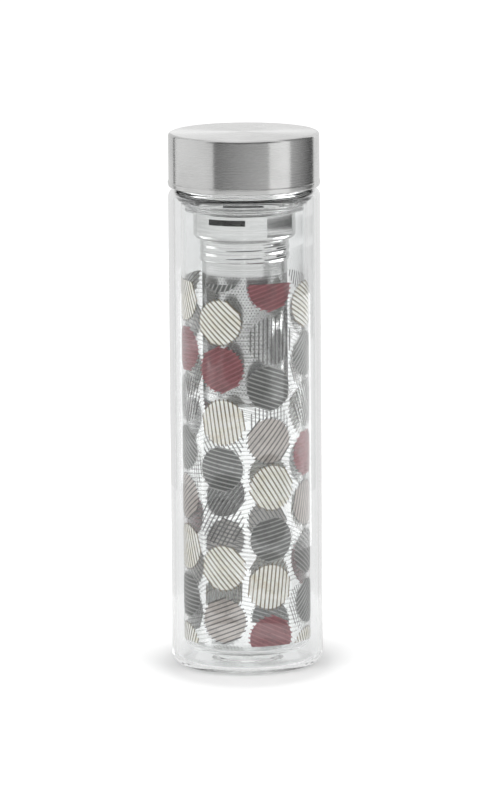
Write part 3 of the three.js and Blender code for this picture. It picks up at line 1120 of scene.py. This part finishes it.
def makeBasket():
    size = basketSizes
    pitch = fullTurn * basketRadius / size["columns"]
    tube, rowPitch = perforatedSheet("teaBasket", size["columns"], size["rowPairs"], pitch, size["hole"])
    holesLow = basketBottom + size["corner"] + size["bareBand"]
    holesHigh = holesLow + 2 * size["rowPairs"] * rowPitch
    bendRound(tube, basketRadius, holesLow + rowPitch / 2)
    weld(near, outwards=False)
    pickVerts(lambda x, y, z: z > holesHigh - near)
    threadLow = basketTop - size["threadZone"]
    extrudeRing(threadLow - holesHigh)
    for row in range(size["threadRows"]):
        extrudeRing(size["threadZone"] / size["threadRows"])
    pickVerts(lambda x, y, z: z < holesLow + near)
    cornerTop = basketBottom + size["corner"]
    extrudeRing(cornerTop - holesLow)
    radius = basketRadius
    height = cornerTop
    for step in range(1, size["cornerSteps"] + 1):
        angle = step / size["cornerSteps"] * math.pi / 2
        nextRadius = basketRadius - size["corner"] * (1 - math.cos(angle))
        nextHeight = cornerTop - size["corner"] * math.sin(angle)
        extrudeRing(nextHeight - height, nextRadius / radius)
        radius, height = nextRadius, nextHeight
    extrudeRing(0, (radius - size["lip"]) / radius)
    closePiece()
    faceOut(tube)
    rollThread(tube, {
        "inner": basketRadius - size["threadSlack"],
        "outer": basketRadius + size["threadSlack"],
        "low": threadLow + size["threadEdge"],
        "high": basketTop - size["threadEdge"],
        "start": basketThreadStart,
        "pitch": collarSizes["threadPitch"],
        "from": 0,
        "to": 1,
        "firstTurn": 0,
        "lastTurn": 1,
        "fade": 0.06,
        "reach": size["threadReach"],
        "rootHalf": 0.8,
        "crestHalf": 0.25,
    })
    applyModifier(tube, "SOLIDIFY", thickness=size["sheet"] * mm, offset=-1)
    floorLow = basketBottom + size["sheet"] + size["floorGap"]
    floor = screenDisc("basketFloor", radius - size["floorInset"], floorLow, size["floorSheet"],
                       size["floorPitch"], size["floorHole"])
    joinPieces([tube, floor])
    finishPiece(tube, "basket", ["infuser_basket"], [meshSteel])


makeBasket()


# Strainer: a pressed dish with a screen, on the basket's rim

strainerSizes = {
    "sheet": 0.5,
    "seatGap": 0.3,
    "lip": 1.6,
    "round": 0.25,
    "rimRound": 0.15,
    "screenSheet": 0.4,
    "screenInset": 0.1,
    "screenGap": 0.02,
    "pitch": 2.2,
    "hole": 1.3,
}


def makeStrainer():
    size = strainerSizes
    sheet = size["sheet"]
    dish = basketRadius - basketSizes["sheet"] - size["seatGap"]
    lipEdge = dish - size["lip"]
    middle = (strainerBottom + strainerTop) / 2
    outline = [
        (dish, middle),
        (dish, strainerTop - sheet, size["round"]),
        (basketRadius, strainerTop - sheet, size["rimRound"]),
        (basketRadius, strainerTop, size["rimRound"]),
        (dish - sheet, strainerTop, size["round"]),
        (dish - sheet, strainerBottom + sheet, size["round"]),
        (lipEdge, strainerBottom + sheet),
        (lipEdge, strainerBottom),
        (dish, strainerBottom, size["round"]),
        (dish, middle),
    ]
    rim = turnPiece("strainer", outline, roundSteps=4)
    screenLow = strainerBottom + sheet + size["screenGap"]
    screen = screenDisc("strainerScreen", dish - sheet - size["screenInset"], screenLow,
                        size["screenSheet"], size["pitch"], size["hole"])
    joinPieces([rim, screen])
    finishPiece(rim, "basket_thread", ["infuser_strainer"], [infuserSteel])


makeStrainer()


# Studio: pale floor with a painted shadow round the bottle and painted shade seen through the glass, white
# world, two soft lamps, and cards that the steel and glass reflect

studioSizes = {  # lengths in metres
    "floorWidth": 14.0,
    "floorDrop": 0.0002,
    "worldFill": 0.6,
    # painted shadow: the floor glows less to the camera near the bottle, so it shows darker there on top of
    # its own lit shading
    "paintedShadowGlow": 0.15,
    "farGlow": 0.52,
    "paintedShadowReach": 0.052,
    "fadeReach": 0.02,
    "fadeDepth": 20,  # fade lengths from the painted shadow's edge to where none of it is left
    "widthShare": 1.5,  # the glow, and so the painted shadow, closes in this much faster beside the bottle than before it
    "glossyGlow": 0.15,
    "glassGlow": 0.3,
    "jacketPaintedShade": (0.0, 0.18),  # painted shade: the floor's glow seen through the jacket at the left and at the right, below the glass glow
    "jacketShadeReach": (0.024, 0.028),
    "lampAim": 0.12,
    "bounces": 32,
}
cardSizes = {"radius": 0.45, "low": 0.001, "high": 1.0, "seenBy": "glossy"}  # where a card gives no other
studioCards = [  # degrees run from the front towards the right; levels at the first and last of them
    {"name": "frontCard", "degrees": (-46, 38), "levels": (0.12, 0.50), "high": 0.36},
    {"name": "frontTop", "degrees": (-60, 60), "levels": (0.03, 0.06), "low": 0.36},
    {"name": "rightCard", "degrees": (73, 129), "levels": (0.42, 0.02)},
    {"name": "rightBack", "degrees": (141, 176), "levels": (0.80, 0.80)},
    {"name": "leftCard", "degrees": (-126, -46), "levels": (0.84, 0.72)},
    {"name": "leftEdge", "degrees": (-133, -127), "levels": (0.05, 0.05)},
    {"name": "leftBack", "degrees": (-170, -134), "levels": (0.72, 0.72)},
    {"name": "collarCard", "degrees": (50, 138), "levels": (0.33, 0.03), "seenBy": "mirrors",
     "radius": 0.5, "high": 0.1305, "fade": (0.1185, 0.1215)},
    {"name": "frontHigh", "degrees": (-50, 45), "levels": (0.04, 0.04), "seenBy": "mirrors",
     "low": 0.40, "high": 1.2},
    {"name": "rightHigh", "degrees": (88, 150), "levels": (0.05, 0.05), "seenBy": "mirrors",
     "low": 0.25, "high": 1.2},
    {"name": "threadCard", "degrees": (50, 132), "levels": (0.25, 0.03), "seenBy": "mirrors",
     "radius": 0.49, "low": 0.07, "high": 0.1172},
    {"name": "rightVeil", "degrees": (72, 115), "levels": (2.8, 4.2), "seenBy": "mirrors",
     "radius": 0.2, "low": 0.02, "high": 0.138},
    {"name": "leftVeil", "degrees": (-115, -76), "levels": (2.6, 1.5), "seenBy": "mirrors",
     "radius": 0.2, "low": 0.05, "high": 0.138},
    {"name": "rightWing", "degrees": (122, 168), "levels": (0.70, 0.80), "seenBy": "glass",
     "radius": 0.16, "high": 0.3, "fade": (-0.004, 0.004)},
    {"name": "leftWing", "degrees": (-168, -122), "levels": (0.80, 0.70), "seenBy": "glass",
     "radius": 0.16, "high": 0.3, "fade": (-0.004, 0.004)},
]


def makeWorld():
    world = bpy.data.worlds.new("studioWorld")
    scene.world = world
    world.use_nodes = True
    path = addNode(world, "ShaderNodeLightPath").outputs
    ahead = reckon(world, "MAXIMUM", path["Is Camera Ray"], path["Is Glossy Ray"])
    seen = reckon(world, "MAXIMUM", ahead, path["Is Transmission Ray"])
    strength = mapped(world, seen, 0, 1, studioSizes["worldFill"], 1)
    setInputs(world, world.node_tree.nodes["Background"], {"Color": (1, 1, 1, 1), "Strength": strength})


def makeFloor():
    size = studioSizes
    deselectAll()
    bpy.ops.mesh.primitive_plane_add(size=size["floorWidth"], location=(0, 0, -size["floorDrop"]))
    floor = bpy.context.object
    floor.name = "studioFloor"
    material, shader = startMaterial("paleFloor")
    # painted shadow: the camera glow is low near the foot and rises in an oval to the far glow, darkening
    # the floor round the bottle
    place = objectPlace(material)
    oval = reckonVector(material, "MULTIPLY", place, (size["widthShare"], 1, 1)).outputs["Vector"]
    away = reckonVector(material, "LENGTH", oval).outputs["Value"]
    reach = (size["paintedShadowReach"], size["paintedShadowReach"] + size["fadeDepth"] * size["fadeReach"])
    shade = reckon(material, "EXPONENT", mapped(material, away, *reach, 0, -size["fadeDepth"]))
    glow = mapped(material, shade, 0, 1, size["farGlow"], size["paintedShadowGlow"])
    path = addNode(material, "ShaderNodeLightPath").outputs
    toCamera = reckon(material, "MULTIPLY", path["Is Camera Ray"], glow)
    toSteel = mapped(material, path["Is Glossy Ray"], 0, 1, 0, size["glossyGlow"])
    # painted shade: beyond the jacket reach the floor seen through the glass glows less, not at all at the
    # left, so it is painted darker beside the bottle
    right = addNode(material, "ShaderNodeSeparateXYZ", {0: place}).outputs["X"]
    aside = reckon(material, "ABSOLUTE", right)
    inner, outer = size["jacketShadeReach"]
    jacket = mapped(material, right, -outer, outer, *size["jacketPaintedShade"])
    through = mapped(material, aside, inner, outer, size["glassGlow"], jacket)
    toGlass = mapped(material, path["Is Transmission Ray"], 0, 1, 0, through)
    indirect = reckon(material, "MAXIMUM", toSteel, toGlass)
    setInputs(material, shader, {
        "Base Color": (0.86, 0.86, 0.86, 1),
        "Roughness": 1,
        "Specular IOR Level": 0,
        "Emission Color": (1, 1, 1, 1),
        "Emission Strength": reckon(material, "MAXIMUM", toCamera, indirect),
    })
    floor.data.materials.append(material)


def makeCard(card):  # a curved card round the bottle that only shows in reflections or through the glass
    first, last = (math.radians(edge) for edge in card["degrees"])
    start = first - math.pi / 2
    foot = (card["radius"] * math.cos(start), card["radius"] * math.sin(start), card["low"])
    sheet = startPoint(card["name"], foot)
    rise = (0, 0, card["high"] - card["low"])
    bpy.ops.mesh.extrude_region_move(TRANSFORM_OT_translate={"value": rise})
    selectAll()
    bpy.ops.mesh.spin(steps=24, angle=first - last, center=(0, 0, 0), axis=(0, 0, 1))  # anticlockwise
    closePiece()
    material, shader = startMaterial(card["name"])
    place = addNode(material, "ShaderNodeSeparateXYZ", {0: objectPlace(material)}).outputs
    angle = reckon(material, "ARCTAN2", place["X"], reckon(material, "MULTIPLY", place["Y"], -1.0))
    level = mapped(material, angle, first, last, *card["levels"])
    if "fade" in card:  # white below its fade
        level = mapped(material, place["Z"], *card["fade"], 1.0, level)
    setInputs(material, shader, {
        "Base Color": (0, 0, 0, 1),
        "Specular IOR Level": 0,
        "Emission Color": (1, 1, 1, 1),
        "Emission Strength": level,
    })
    if card["seenBy"] == "mirrors":  # lets straight views through the glass pass
        bounces = addNode(material, "ShaderNodeLightPath").outputs["Glossy Depth"]
        showMix(material, bounces, addNode(material, "ShaderNodeBsdfTransparent"), shader)
    sheet.data.materials.append(material)
    sheet.visible_camera = False
    sheet.visible_diffuse = False
    sheet.visible_shadow = False
    sheet.visible_glossy = card["seenBy"] == "glossy"
    sheet.visible_transmission = card["seenBy"] != "glossy"


lampSettings = [  # name, place in metres, width, watts
    ("keyLamp", (-1.5, -1.5, 2.0), 2.4, 28),
    ("fillLamp", (1.7, -1.0, 1.6), 2.0, 16),
]


def makeLamp(name, place, width, watts):
    light = bpy.data.lights.new(name, "AREA")
    light.size = width
    light.energy = watts
    lamp = bpy.data.objects.new(name, light)
    scene.collection.objects.link(lamp)
    lamp.location = place
    aim = Vector((0, 0, studioSizes["lampAim"]))
    lamp.rotation_euler = (aim - Vector(place)).to_track_quat("-Z", "Y").to_euler()
    lamp.visible_glossy = False
    lamp.visible_transmission = False


makeWorld()
makeFloor()
for card in studioCards:
    makeCard({**cardSizes, **card})
for lamp in lampSettings:
    makeLamp(*lamp)
scene.view_settings.view_transform = "Standard"
for kind in ("max_bounces", "transmission_bounces", "glossy_bounces", "transparent_max_bounces"):
    setattr(scene.cycles, kind, studioSizes["bounces"])
print("studio set")
